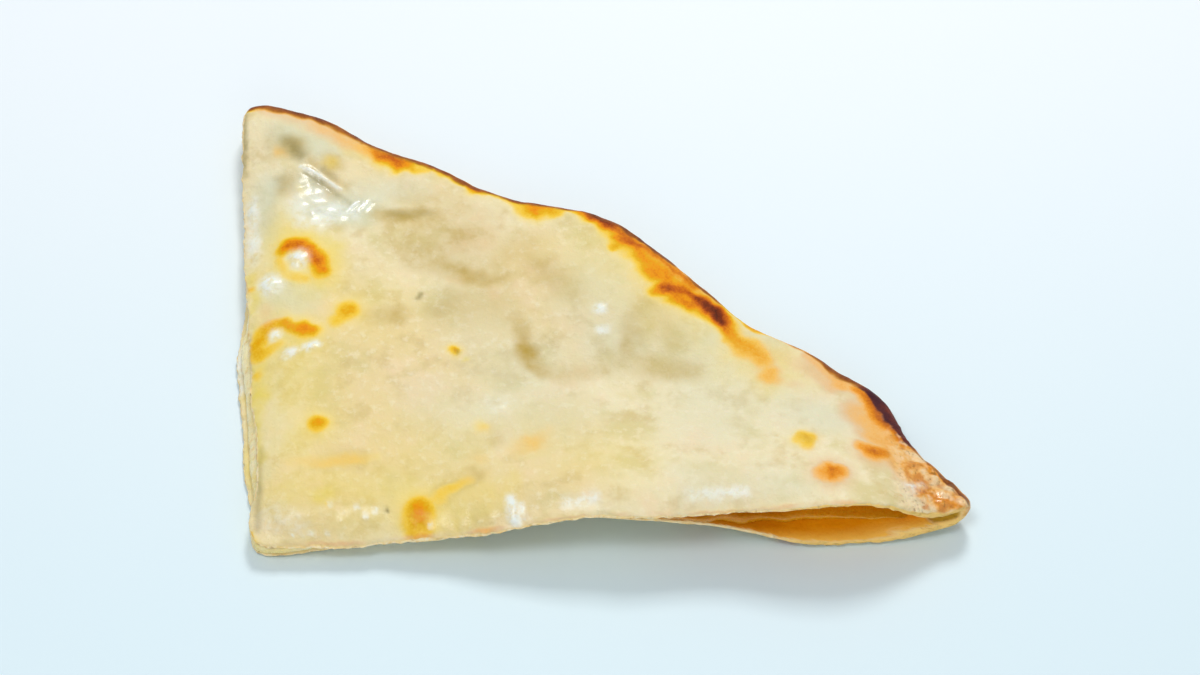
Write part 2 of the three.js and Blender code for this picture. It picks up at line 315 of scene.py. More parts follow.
def nearest_on_crust(places):
    """For places in plan: how far each is from the crust's outline, and which way is outwards there."""
    angles = np.arange(0, SHORT_CUT_DEGREES + 0.1, CRUST_STEP_DEGREES)
    reach = np.interp(angles, *np.array(CRUST, float).T)
    turned = np.radians(angles)
    outline = np.column_stack([reach * np.cos(turned), reach * np.sin(turned)])
    nearest = np.full(len(places), FAR)
    outwards = np.zeros((len(places), 2))
    for start, end in zip(outline, outline[1:]):
        distance = nearest_on_segment(places, start, end)[1]
        closer = distance < nearest
        nearest[closer] = distance[closer]
        way = end - start
        outwards[closer] = (way[1], -way[0]) / np.hypot(*way)
    return nearest, outwards


def distance_to_stroke(places, stroke):
    """How far each place in plan is from a stroke, in shares of its half width, and the strength there."""
    best = np.full(len(places), FAR)
    strength = np.zeros(len(places))
    ends = stroke if len(stroke) > 1 else stroke * 2
    for (ax, ay, width_a, strength_a), (bx, by, width_b, strength_b) in zip(ends, ends[1:]):
        share, off = nearest_on_segment(places, np.array([ax, ay]), np.array([bx, by]))
        off = off / (width_a + (width_b - width_a) * share)
        closer = off < best
        best = np.where(closer, off, best)
        strength = np.where(closer, strength_a + (strength_b - strength_a) * share, strength)
    return best, strength


def painted(places, strokes, core=0.0, reach=1.6):
    """Strokes of (x, y, half width, strength) laid over each other, fading from the core out to the reach."""
    laid = np.zeros(len(places))
    for stroke in strokes:
        off, strength = distance_to_stroke(places, stroke)
        laid += (strength * fade(off, core, reach)) ** 4
    return laid ** 0.25


# What the oven and the knife left, in plan: strokes of (x, y, half width, strength)

# blisters that stand up off the skin
BLISTERS = [
    # the ring round a glazed bead, near the short cut
    [(3.2, 63.6, 1.6, 0.5), (4.6, 64.8, 2.1, 0.6), (7.0, 65.0, 2.0, 0.58), (8.8, 63.4, 2.0, 0.58),
     (10.2, 61.2, 2.4, 0.62), (10.8, 59.0, 2.2, 0.56)],
    [(3.8, 64.0, 1.0, 0.5), (5.4, 64.8, 1.0, 0.46), (8.9, 62.6, 1.0, 0.44), (10.2, 60.4, 1.2, 0.48)],
    [(2.8, 61.6, 1.4, 0.26), (4.2, 58.4, 1.6, 0.2), (8.0, 57.0, 1.6, 0.26)],
    # the gold ones nearer the front
    [(-0.2, 40.0, 1.6, 0.34), (-0.7, 42.6, 2.3, 0.44), (1.4, 46.4, 1.9, 0.42), (4.6, 46.8, 1.8, 0.46)],
    [(5.6, 45.6, 1.6, 0.46), (8.0, 45.1, 2.2, 0.56), (9.8, 44.7, 1.7, 0.54)],
    [(0.8, 40.6, 1.8, 0.36), (3.4, 42.2, 1.4, 0.24)], [(16.1, 49.3, 2.8, 0.44)],
    [(14.0, 46.8, 2.1, 0.3), (15.6, 48.0, 2.2, 0.3)],
    # single ones
    [(35.8, 39.3, 1.1, 0.5)], [(11.4, 23.4, 2.1, 0.5)], [(30.0, 4.6, 3.0, 0.5)],
    [(29.2, 3.4, 3.4, 0.42), (29.8, 1.6, 3.2, 0.4)],
    [(97.0, 15.8, 1.3, 0.26), (98.3, 17.2, 1.5, 0.34), (99.8, 16.4, 1.6, 0.38), (99.0, 14.2, 1.5, 0.28)],
    [(98.4, 15.8, 2.4, 0.22)], [(101.4, 7.0, 2.3, 0.44), (102.6, 7.1, 2.7, 0.6), (103.8, 7.5, 2.2, 0.52)],
    [(109.0, 14.4, 1.9, 0.46), (110.8, 13.2, 2.5, 0.66), (112.6, 13.3, 2.1, 0.56)],
]
# browning that lies flat in the skin and along the crust
SCORCHED = [
    [(0.8, 50.0, 2.2, 0.14)], [(-0.4, 36.4, 1.6, 0.26)], [(-2.2, 56.6, 1.3, 0.3)], [(42.3, 65.3, 2.6, 0.1)],
    [(41.0, 21.4, 2.0, 0.18)], [(43.4, 52.8, 2.2, 0.12)], [(36.0, 56.2, 2.2, 0.1)],
    [(33.0, 6.8, 1.6, 0.22), (36.0, 8.6, 1.6, 0.28), (38.6, 10.2, 1.4, 0.2)], [(40.8, 14.4, 2.2, 0.14)],
    [(47.0, 15.4, 2.4, 0.14), (50.4, 17.2, 3.4, 0.22), (53.0, 19.6, 2.4, 0.12)],
    [(6.5, 15.4, 1.8, 0.12), (13.5, 15.2, 1.7, 0.2), (18.4, 15.2, 1.7, 0.23), (21.6, 15.4, 1.2, 0.12)],
    [(13.6, 6.4, 0.9, 0.2)],
    # top corner
    [(2.2, 88.0, 1.8, 0.2)], [(12.0, 85.6, 2.2, 0.15)], [(6.4, 79.4, 1.6, 0.1)],
    [(-1.6, 99.2, 2.8, 0.16), (5.0, 97.4, 3.4, 0.19), (10.5, 95.0, 3.6, 0.22), (15.0, 92.2, 3.6, 0.25),
     (19.5, 89.4, 2.8, 0.33)],
    [(19.4, 89.8, 1.7, 0.44), (22.0, 88.0, 2.2, 0.66), (24.8, 86.6, 2.3, 0.66), (28.0, 85.4, 1.8, 0.34),
     (30.4, 84.8, 1.4, 0.26)],
    # crust from there to the darkest stretch
    [(33.0, 84.2, 1.3, 0.3), (40.0, 80.6, 1.4, 0.36), (47.0, 76.0, 1.5, 0.34), (51.4, 72.8, 2.4, 0.6),
     (55.4, 72.2, 1.7, 0.38)],
    [(39.3, 80.2, 1.5, 0.72), (41.6, 78.8, 1.3, 0.56)],
    [(56.5, 73.0, 0.9, 0.4), (61.0, 71.2, 1.3, 0.66), (63.6, 69.5, 1.5, 0.84), (66.4, 67.3, 1.5, 0.72),
     (68.6, 65.3, 1.4, 0.56)],
    [(61.0, 70.0, 1.6, 0.24), (66.4, 65.2, 2.6, 0.34), (71.4, 59.6, 3.5, 0.42), (76.8, 53.4, 3.9, 0.44),
     (81.6, 49.0, 3.4, 0.42), (85.8, 45.0, 2.4, 0.34), (88.6, 40.4, 2.8, 0.3), (92.0, 36.8, 3.4, 0.26)],
    [(67.2, 64.2, 2.2, 0.62), (69.0, 63.6, 2.4, 0.72), (71.0, 62.2, 1.9, 0.6)], [(66.0, 62.0, 1.4, 0.44)],
    [(75.4, 52.4, 2.1, 0.66)], [(62.2, 69.4, 1.6, 0.6), (64.4, 67.8, 1.6, 0.62)],
    [(70.8, 60.4, 2.4, 0.5), (72.8, 57.2, 2.8, 0.52), (75.4, 54.8, 2.6, 0.5)],
    [(71.6, 62.6, 1.0, 0.56), (75.0, 59.2, 1.1, 0.6), (78.0, 56.0, 1.1, 0.6), (80.8, 53.0, 1.1, 0.56)],
    [(73.8, 51.8, 1.6, 0.54), (76.2, 51.6, 1.9, 0.7), (78.8, 52.0, 1.8, 0.64), (80.4, 50.8, 1.4, 0.66)],
    [(77.2, 49.4, 2.0, 0.5), (80.0, 48.6, 2.0, 0.56)],
    [(81.0, 50.0, 1.6, 0.78), (82.8, 48.6, 2.1, 0.88), (84.4, 47.1, 2.0, 0.92), (85.7, 45.4, 1.7, 0.84)],
    [(86.5, 44.2, 1.6, 0.6), (87.6, 41.0, 2.2, 0.48), (89.6, 38.8, 2.8, 0.42), (92.2, 36.8, 2.8, 0.36)],
    [(93.6, 32.6, 2.8, 0.34)], [(97.8, 30.2, 2.2, 0.14)],
    [(96.0, 38.0, 2.6, 0.1), (101.6, 34.0, 3.0, 0.17), (105.2, 31.0, 2.6, 0.2)],
    # from there to the pointed end
    [(100.5, 37.6, 1.3, 0.24), (104.5, 34.3, 1.8, 0.28), (107.2, 31.6, 2.2, 0.34)],
    [(109.4, 30.0, 1.6, 0.5), (112.4, 26.8, 2.4, 0.7), (114.9, 22.2, 2.4, 0.7), (117.0, 17.8, 1.7, 0.6)],
    [(109.6, 24.0, 4.2, 0.28), (112.4, 19.6, 4.4, 0.34), (115.2, 14.2, 4.4, 0.34),
     (117.6, 10.0, 4.2, 0.34)],
    [(119.8, 13.2, 1.8, 0.5), (122.8, 9.8, 2.2, 0.5)],
    [(118.6, 6.2, 2.2, 0.42), (121.6, 4.8, 2.6, 0.52), (125.6, 4.0, 2.0, 0.5)],
    # lower edge of the corner where the cuts meet
    [(-0.6, 1.6, 0.9, 0.5), (-0.2, -0.2, 1.2, 0.66), (2.6, -1.0, 0.9, 0.4)],
]
# where the browning is peach and tan, not gold
ROSY = [
    [(-1.0, 99.0, 3.0, 0.9), (6.0, 97.0, 4.0, 0.9), (13.0, 93.5, 4.0, 0.9), (20.0, 89.6, 3.0, 0.7)],
    [(2.0, 88.0, 3.0, 0.6)], [(42.3, 65.3, 4.0, 0.9)], [(36.0, 56.2, 4.0, 0.9), (43.4, 52.8, 4.0, 0.9)],
    [(41.0, 15.0, 5.0, 0.5), (56.0, 19.0, 6.0, 0.5)],
    [(66.6, 67.6, 1.1, 0.5), (72.6, 63.0, 1.5, 0.8), (78.8, 56.4, 2.2, 1.0), (82.6, 53.0, 1.8, 0.9),
     (86.0, 50.0, 1.2, 0.6)],
    [(1.0, 50.0, 3.0, 0.8)], [(86.6, 43.6, 2.4, 0.2), (89.4, 39.6, 4.4, 0.4), (95.0, 34.0, 6.0, 0.7)],
    [(6.0, 15.4, 3.0, 0.3), (18.0, 15.0, 3.0, 0.3)],
]
# the one blister near the pointed end that stays gold
STILL_GOLD = [[(98.4, 16.2, 3.2, 0.9)]]
# burnt nearly black
BURNT = [
    [(109.8, 31.0, 0.7, 0.4), (112.2, 29.4, 1.5, 0.9), (114.4, 26.2, 1.9, 1.0), (116.2, 22.0, 1.8, 0.9),
     (118.0, 18.0, 1.0, 0.7)],
]
# painted olive shade in the hollows and folds, with an olive tint on a few brown marks
OLIVE_SHADE_AND_TINT = [
    # painted shade: the hook round the swelling, and the folds beyond it
    [(47.4, 47.4, 1.8, 0.3), (48.4, 44.0, 1.9, 0.7), (48.9, 41.0, 1.9, 1.0), (50.0, 37.4, 1.9, 0.9),
     (52.6, 34.8, 2.0, 0.6), (57.5, 33.8, 2.4, 0.4), (62.5, 35.0, 2.4, 0.3)],
    [(66.0, 36.4, 3.0, 0.3), (70.0, 36.0, 3.4, 0.5), (75.0, 34.6, 3.0, 0.6), (79.6, 34.2, 2.6, 0.5)],
    [(69.4, 46.0, 2.0, 0.3), (68.6, 43.0, 2.2, 0.5), (67.8, 38.6, 2.4, 0.5)],
    [(72.6, 48.6, 3.0, 0.3), (76.0, 41.0, 3.6, 0.3)],
    [(28.0, 62.5, 3.0, 0.3), (34.0, 60.0, 3.0, 0.6), (38.6, 57.2, 2.4, 0.9), (42.0, 56.0, 2.2, 0.9),
     (46.0, 56.4, 2.2, 0.4)],
    [(33.0, 6.8, 1.7, 0.6), (36.6, 8.8, 1.9, 1.0), (40.4, 10.8, 1.5, 0.6)], [(12.0, 85.5, 2.4, 1.0)],
    [(4.6, 89.4, 3.0, 0.8)], [(13.0, 15.4, 2.0, 0.4), (19.0, 15.2, 1.8, 0.8)],
    [(31.0, 68.0, 6.0, 0.4), (38.0, 66.0, 7.0, 0.5)], [(14.4, 47.2, 1.8, 0.6)],
    [(48.0, 61.5, 3.0, 0.3), (51.4, 58.8, 3.4, 0.6), (55.0, 54.5, 3.4, 0.5), (58.0, 51.5, 3.2, 0.3)],
    [(36.0, 50.0, 5.5, 0.3), (43.0, 50.8, 5.5, 0.34)],
    [(33.0, 64.0, 5.0, 0.3), (43.0, 61.0, 6.0, 0.34), (50.0, 64.5, 4.4, 0.3)],
    [(21.0, 73.6, 1.8, 0.4), (25.4, 72.2, 2.2, 0.8), (30.2, 72.8, 2.2, 0.6), (35.0, 71.0, 2.6, 0.3)],
    [(26.0, 77.6, 3.0, 0.3), (33.0, 76.6, 3.4, 0.3), (41.0, 71.6, 3.6, 0.3)],
    [(19.6, 48.2, 2.6, 0.5), (25.0, 48.0, 2.8, 0.6)], [(43.4, 18.8, 1.6, 0.3)], [(1.0, 92.0, 3.0, 0.3)],
    [(2.6, 79.0, 2.2, 0.5), (4.6, 82.4, 2.2, 0.5)], [(8.0, 85.6, 1.4, 0.5), (15.0, 80.4, 1.4, 0.5)],
]
# painted shade along creases, grooves and the layers' edges, a few smudges, and some dark specks
SHADE_AND_SPECKS = [
    [(3.2, 90.6, 1.3, 0.5), (4.2, 89.2, 1.6, 0.8), (5.8, 87.4, 1.2, 0.7)],
    [(7.0, 83.4, 0.5, 0.6), (9.8, 81.2, 0.6, 0.8), (13.2, 78.6, 0.5, 0.6), (15.0, 77.0, 0.5, 0.3)],
    [(10.6, 83.8, 0.8, 0.5), (12.8, 82.2, 0.7, 0.4)], [(15.0, 76.8, 0.5, 0.5), (16.2, 75.6, 0.4, 0.4)],
    [(8.4, 72.8, 0.4, 0.35), (10.4, 73.6, 0.4, 0.35), (12.4, 72.4, 0.4, 0.3)],
    [(24.0, 72.8, 1.2, 0.4), (30.6, 72.8, 1.2, 0.3)],
    [(0.8, 19.5, 0.7, 0.3), (1.1, 11.0, 0.7, 0.6), (0.9, 3.0, 0.7, 0.5)],
    [(29.3, 52.0, 0.5, 0.9), (29.8, 52.9, 0.5, 0.9)], [(24.3, 5.1, 0.4, 1.0)], [(24.4, 5.0, 0.25, 1.0)],
    [(36.3, 39.0, 0.5, 0.7)], [(5.2, 62.2, 0.6, 0.3)], [(98.2, 17.0, 0.9, 0.2), (99.6, 16.0, 1.0, 0.26)],
    [(-5.6, 99.0, 0.6, 0.9), (-5.2, 91.0, 0.6, 0.8), (-4.8, 84.0, 0.5, 0.5)],
    [(7.2, 82.2, 1.2, 0.3), (11.0, 79.6, 1.4, 0.4), (14.4, 77.2, 1.0, 0.3)],
    [(2.4, 81.6, 1.5, 0.26), (4.0, 79.4, 1.3, 0.26)],
]
# cooler skin, between grey and green
GREYED = [
    [(1.0, 80.0, 4.5, 0.8), (0.0, 70.0, 3.4, 0.6)],
    [(7.5, 82.0, 4.0, 0.7), (10.0, 75.0, 5.0, 0.9), (15.5, 74.4, 4.4, 0.9), (21.0, 78.0, 4.6, 0.6),
     (27.0, 80.0, 4.0, 0.4)],
    [(3.0, 93.0, 5.0, 0.8), (10.0, 90.0, 4.4, 0.8)], [(60.0, 54.0, 8.0, 0.4), (66.0, 42.0, 8.0, 0.4)],
    [(84.0, 24.0, 12.0, 0.36), (80.0, 38.0, 9.0, 0.36)], [(4.0, 53.6, 4.6, 0.6), (9.0, 52.0, 4.0, 0.4)],
    [(80.0, 5.0, 6.0, 0.4), (96.0, 4.5, 5.0, 0.4)], [(107.0, 22.0, 4.6, 0.6), (98.0, 24.0, 7.0, 0.5)],
    [(93.0, 42.5, 3.6, 0.5), (84.0, 41.0, 3.0, 0.5)],
    [(38.0, 50.0, 9.0, 0.3), (52.0, 24.0, 11.0, 0.4), (34.0, 27.0, 9.0, 0.3)],
]
# yellower skin, where butter has soaked in
YELLOWED = [
    [(-2.2, 59.0, 1.8, 0.8), (-1.9, 56.0, 2.0, 1.0), (-0.9, 51.2, 2.0, 1.0)],
    [(0.4, 38.0, 2.2, 1.0), (-0.4, 34.0, 2.6, 1.0), (-0.2, 26.0, 2.4, 0.9), (0.2, 18.0, 2.2, 0.9),
     (0.8, 12.0, 2.2, 0.6)],
    [(3.0, 68.0, 4.4, 0.9), (12.4, 63.0, 4.4, 0.9), (10.0, 55.0, 4.6, 0.8)],
    [(4.6, 43.0, 4.0, 0.7), (10.0, 42.0, 4.0, 0.5)],
    [(4.0, 72.0, 6.0, 0.6), (4.0, 55.0, 8.0, 0.7), (6.0, 35.0, 9.0, 0.5), (8.0, 20.0, 9.0, 0.5)],
    [(6.0, 10.0, 8.0, 0.5), (18.0, 9.0, 8.0, 0.5), (32.0, 7.0, 6.0, 0.6), (44.0, 6.0, 4.0, 0.5)],
    [(24.0, 16.0, 12.0, 0.3), (46.0, 18.0, 9.0, 0.25), (66.0, 12.0, 8.0, 0.3)], [(20.0, 50.0, 9.0, 0.3)],
    [(62.0, 60.0, 9.0, 0.3), (76.0, 45.0, 7.0, 0.3), (95.0, 34.0, 8.0, 0.6)], [(12.4, 7.5, 2.4, 1.0)],
    [(31.0, 3.0, 3.4, 0.9)], [(37.5, 3.2, 2.0, 0.7)], [(46.0, 9.0, 3.0, 0.4)], [(37.7, 38.7, 0.9, 0.9)],
]
# painted highlights: milky white patches and glints where the thin skin is wet with butter
PAINTED_HIGHLIGHTS = [
    [(-2.9, 78.0, 1.2, 0.4), (-3.0, 75.5, 1.5, 0.8), (-2.7, 71.0, 1.2, 0.4), (-2.4, 67.4, 1.5, 0.8),
     (-2.2, 63.0, 1.2, 0.3)],
    [(1.4, 56.2, 2.4, 1.0)], [(1.6, 56.3, 1.7, 1.0)],
    [(5.8, 75.4, 2.6, 0.4), (7.4, 72.4, 2.8, 0.6), (10.4, 71.6, 2.8, 0.6), (13.2, 74.0, 2.6, 0.6)],
    [(9.4, 77.6, 2.0, 0.5)], [(16.2, 73.3, 1.5, 0.7)], [(15.6, 74.4, 0.6, 0.9), (17.4, 76.4, 0.6, 0.9)],
    [(17.0, 74.2, 0.5, 0.7), (18.6, 76.2, 0.5, 0.7)], [(18.4, 74.2, 0.4, 0.6), (19.8, 76.2, 0.4, 0.6)],
    [(6.3, 85.0, 0.4, 0.9), (9.8, 82.5, 0.4, 0.9), (13.7, 79.7, 0.4, 0.7)], [(6.5, 61.5, 2.0, 1.0)],
    [(6.4, 61.4, 1.4, 1.0)], [(2.9, 44.4, 1.3, 0.9)], [(5.0, 39.6, 1.2, 0.9), (6.4, 39.8, 1.1, 0.9)],
    [(8.8, 40.8, 1.1, 1.0), (10.4, 41.4, 1.0, 0.9)], [(63.0, 47.2, 1.3, 1.0)], [(63.3, 42.6, 1.3, 0.8)],
    [(46.1, 4.6, 1.1, 1.0), (46.9, 0.8, 1.2, 1.0)], [(48.0, 3.4, 0.5, 0.8), (48.2, 1.0, 0.5, 0.8)],
    [(117.2, 5.8, 1.2, 0.8), (119.0, 6.8, 0.8, 0.7)], [(56.0, 3.0, 1.2, 0.6), (61.0, 3.2, 1.2, 0.7)],
    [(78.0, 3.4, 1.3, 0.6), (87.0, 3.6, 1.4, 0.7)], [(-4.4, 44.0, 1.6, 0.8), (-4.2, 36.0, 1.4, 0.6)],
    [(4.0, 4.6, 3.0, 0.3), (9.0, 2.4, 1.6, 0.3)], [(44.0, 27.0, 3.0, 0.2)], [(20.4, 4.3, 0.6, 0.8)],
    [(22.2, 5.1, 0.5, 0.8)], [(18.8, 5.8, 0.5, 0.7)], [(31.8, 2.0, 0.5, 0.8)], [(14.0, 6.2, 0.5, 0.7)],
    [(7.6, 1.6, 0.4, 0.8)], [(10.8, 1.8, 0.5, 0.8)], [(13.4, 1.6, 0.4, 0.7)],
]
# where butter makes the skin shine
OILED = [
    [(0.5, 82.0, 3.0, 0.4), (-0.5, 70.0, 3.0, 0.6), (0.5, 62.0, 3.0, 0.5), (2.5, 54.6, 3.4, 0.7),
     (4.0, 44.0, 4.0, 0.6)],
    [(7.0, 84.0, 2.6, 0.6), (10.0, 75.6, 4.6, 0.7), (15.0, 74.6, 4.4, 0.7), (19.5, 76.4, 2.8, 0.8)],
    [(0.5, 3.0, 3.0, 0.3), (10.0, 3.0, 3.2, 0.4), (20.0, 4.4, 2.6, 0.7), (27.0, 2.2, 1.6, 0.3),
     (36.0, 2.6, 2.6, 0.4), (50.0, 2.4, 2.4, 0.4), (70.0, 2.4, 2.8, 0.4), (86.0, 2.8, 2.6, 0.4),
     (94.0, 3.4, 2.0, 0.0)],
    [(98.4, 13.0, 1.6, 0.5)], [(117.5, 5.4, 3.0, 0.7), (124.0, 4.6, 3.2, 0.5)],
]
# glazed bumps that catch the light: (x, y, half width, rise in mm)
BEADS = [
    [(6.5, 61.5, 2.2, 0.8)], [(1.5, 56.0, 2.4, 0.8)], [(-2.4, 67.4, 1.5, 0.3)],
    [(-2.8, 76.0, 1.4, 0.3), (-2.6, 73.6, 1.2, 0.25)], [(2.9, 44.2, 1.4, 0.4)],
    [(4.4, 39.2, 0.9, 0.28), (7.0, 40.0, 0.9, 0.26)], [(9.8, 40.9, 1.1, 0.34)], [(98.6, 12.4, 0.5, 0.16)],
    [(97.0, 11.4, 0.4, 0.12)], [(46.4, 3.4, 0.8, 0.24), (46.6, 1.2, 0.9, 0.3)], [(63.2, 47.2, 1.2, 0.16)],
    [(8.4, 73.4, 1.8, 0.3)], [(14.2, 72.6, 1.5, 0.3)], [(17.4, 4.8, 0.45, 0.14)], [(18.8, 5.6, 0.4, 0.12)],
    [(20.4, 4.3, 0.5, 0.16)], [(22.2, 5.1, 0.45, 0.14)], [(11.4, 2.6, 0.4, 0.12)],
    [(117.0, 5.6, 0.9, 0.26), (119.2, 6.7, 0.8, 0.26)],
]
# folds of the upper skin: (x, y, half width, rise in mm)
FOLDS = [
    [(6.3, 85.0, 0.5, 0.16), (9.8, 82.5, 0.6, 0.3), (13.7, 79.7, 0.5, 0.24)],
    [(6.6, 83.6, 0.8, -0.16), (9.6, 81.1, 0.9, -0.3), (13.2, 78.4, 0.8, -0.2)],
    [(3.0, 90.4, 1.0, -0.14), (5.8, 87.2, 1.2, -0.26)], [(15.4, 74.2, 0.45, 0.3), (17.2, 76.4, 0.45, 0.34)],
    [(17.0, 73.8, 0.45, 0.3), (18.6, 76.0, 0.45, 0.34)],
    [(18.4, 73.8, 0.45, 0.26), (20.0, 76.0, 0.45, 0.3)],
    [(16.2, 74.2, 0.4, -0.25), (17.9, 76.3, 0.4, -0.25)],
    [(17.8, 74.0, 0.4, -0.25), (19.3, 76.1, 0.4, -0.25)],
    [(114.6, 8.6, 0.9, -0.3), (118.4, 8.8, 1.0, -0.5), (121.0, 9.8, 0.8, -0.3)],
    [(113.2, 4.6, 0.8, -0.3), (116.4, 4.2, 0.9, -0.45), (118.2, 5.0, 0.7, -0.2)],
    [(118.6, 12.2, 0.7, 0.3), (121.6, 8.8, 0.8, 0.35)], [(120.4, 6.6, 0.7, -0.35), (123.2, 7.0, 0.7, -0.3)],
    [(122.8, 5.4, 0.7, 0.35), (125.6, 5.0, 0.7, 0.3)],
    # shallow stretch marks that run towards the pointed end
    [(36.0, 12.0, 1.6, 0.16), (52.0, 19.0, 2.0, 0.2), (66.0, 23.0, 1.6, 0.14)],
    [(24.0, 21.0, 1.6, 0.12), (44.0, 27.0, 2.0, 0.18)],
    [(60.0, 14.0, 1.4, -0.14), (78.0, 18.0, 1.8, -0.2), (94.0, 20.0, 1.4, -0.12)],
    [(84.0, 30.0, 1.6, 0.14), (99.0, 26.0, 1.8, 0.18)],
]
# the oiled dent near the top corner, as one stroke
DENT = [(6.5, 84.0, 3.4, 0.8), (10.8, 77.5, 5.4, 1.0), (17.0, 75.6, 4.6, 1.0)]


# Making, measuring and marking a piece

# points this close are joined, in mm
WELD = 0.001
PAIRING_ANGLE = math.radians(60)
ROUNDING_LEVELS = 2
# rays start at these heights in mm, clear of the piece
OVERHEAD = 40
UNDERFOOT = -20


def rounded_copy(node, name):
    """A new piece from a CAD node's mesh: its points joined, its triangles paired and its corners rounded."""
    bpy.ops.object.select_all(action="DESELECT")
    piece = bpy.data.objects.new(name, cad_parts[node].data.copy())
    bpy.context.collection.objects.link(piece)
    piece.data.materials.clear()
    bpy.context.view_layer.objects.active = piece
    piece.select_set(True)
    bpy.ops.mesh.customdata_custom_splitnormals_clear()
    bpy.ops.object.mode_set(mode="EDIT")
    bpy.ops.mesh.select_all(action="SELECT")
    bpy.ops.mesh.remove_doubles(threshold=WELD * MM)
    bpy.ops.mesh.tris_convert_to_quads(face_threshold=PAIRING_ANGLE, shape_threshold=PAIRING_ANGLE)
    bpy.ops.object.mode_set(mode="OBJECT")
    rounded = piece.modifiers.new("rounded", "SUBSURF")
    rounded.levels = ROUNDING_LEVELS
    rounded.render_levels = ROUNDING_LEVELS
    bpy.ops.object.modifier_apply(modifier=rounded.name)
    return piece


def positions(piece):
    """A piece's points in mm."""
    points = np.empty(len(piece.data.vertices) * 3)
    piece.data.vertices.foreach_get("co", points)
    return points.reshape(-1, 3) / MM


def normals(piece):
    """The way each of a piece's points faces."""
    found = np.empty(len(piece.data.vertices) * 3)
    piece.data.vertices.foreach_get("normal", found)
    return found.reshape(-1, 3)


def push_out(points, facing, rise):
    """Moves points the way they face by a rise in mm, or inwards where it is negative."""
    points += facing * rise[:, None]


def move_to(piece, points):
    """Gives a piece's points new places in mm."""
    piece.data.vertices.foreach_set("co", (points * MM).ravel())
    piece.data.update()


def write_masks(piece, masks):
    """Keeps named values from 0 to 1 on a piece's points, for its finish."""
    for name, values in masks.items():
        made = piece.data.attributes.new(name, "FLOAT", "POINT")
        made.data.foreach_set("value", np.clip(values, 0, 1).astype(np.float32))


def surface_tree(piece):
    """A piece's surface, for rays."""
    return BVHTree.FromObject(piece, bpy.context.evaluated_depsgraph_get())


def seen_from(piece, points, up):
    """How far each point lies behind the first surface met from above, or from below, in mm."""
    tree = surface_tree(piece)
    start = OVERHEAD if up else UNDERFOOT
    aim = Vector((0, 0, -1 if up else 1))
    depth = np.empty(len(points))
    for index, (x, y, z) in enumerate(points):
        hit = tree.ray_cast(Vector((x, y, start)) * MM, aim)[0]
        depth[index] = abs(hit.z / MM - z) if hit else 0
    return depth


# Bread: what each point is part of

# the upper skin, which is made finer: points less deep in mm than this, and facing up more than this
SKIN_DEPTH = 0.35
SKIN_FACING = -0.35
# depths in mm over which a point stops counting as seen from above or below
SEEN = (0.3, 0.8)
# stretches along the long cut, in mm from the corner
MOUTH_OPENS = (74, 84)
POINTED_END = (112, 118)


def refine_skin(piece):
    """Makes the faces of the upper skin half as wide, for its fine relief."""
    skin = (seen_from(piece, positions(piece), True) < SKIN_DEPTH) & (normals(piece)[:, 2] > SKIN_FACING)
    bpy.ops.object.mode_set(mode="EDIT")
    bpy.ops.mesh.select_mode(type="FACE")
    bpy.ops.mesh.select_all(action="DESELECT")
    bpy.ops.object.mode_set(mode="OBJECT")
    for face in piece.data.polygons:
        face.select = bool(skin[list(face.vertices)].all())
    bpy.ops.object.mode_set(mode="EDIT")
    bpy.ops.mesh.subdivide(number_cuts=1, smoothness=1)
    bpy.ops.mesh.select_all(action="DESELECT")
    bpy.ops.object.mode_set(mode="OBJECT")


def gloom_at(places):
    """Painted shade at the dim narrow end of the mouth, for places in plan."""
    return band(places[:, 0], (66, 76), (88, 100)) * fade(places[:, 1], 8, 16)


bread = rounded_copy("naan_bread", "bread")
refine_skin(bread)
points = positions(bread)
facing = normals(bread)
upward = facing[:, 2]
places = plan(points)
level = flat(places)
along = places[:, 0]
to_long_cut = places[:, 1]
to_short_cut = from_short_cut(places)
to_cut = np.minimum(to_long_cut, to_short_cut)
to_crust, outwards = nearest_on_crust(places)

# how far each point belongs to a kind of surface, from 0 to 1
near_cut = fade(to_cut, 3.0, 6.5)
away_from_crust = steps(to_crust, 3.5, 6.5)
seen_above = fade(seen_from(bread, points, True), *SEEN)
seen_below = fade(seen_from(bread, points, False), *SEEN)
top = seen_above * steps(upward, 0.05, 0.5)
under = seen_below * steps(-upward, 0.05, 0.5)
hidden = np.clip(1 - seen_above - seen_below, 0, 1)
out_of_cut = np.maximum(-facing[:, 1], -facing[:, 0] * np.sin(SHORT_CUT_TURN))
cut_face = near_cut * steps(to_crust, 0.6, 2.2) * steps(out_of_cut, 0.45, 0.8)
cut_face *= fade(np.abs(upward), 0.55, 0.85)
lining = hidden * (1 - cut_face) * steps(to_crust, 0.8, 3.0)
side = fade(to_crust, 0.3, 2.4) * fade(upward, 0.25, 0.8)
tip = steps(along, *POINTED_END)
# the puckered skin beside the cuts
by_long_cut = fade(to_long_cut, 2.0, 6.5) * fade(along, 44, 66)
by_short_cut = fade(to_short_cut, 2.5, 8.0) * band(to_long_cut, (30, 52), (88, 98))


# Bread: its marks


def sway(size, seeds, reach):
    """Shifts in plan of up to about a reach in mm, which make the edges of the marks wander."""
    return np.column_stack([ripple(level, size, seed) for seed in seeds]) * reach


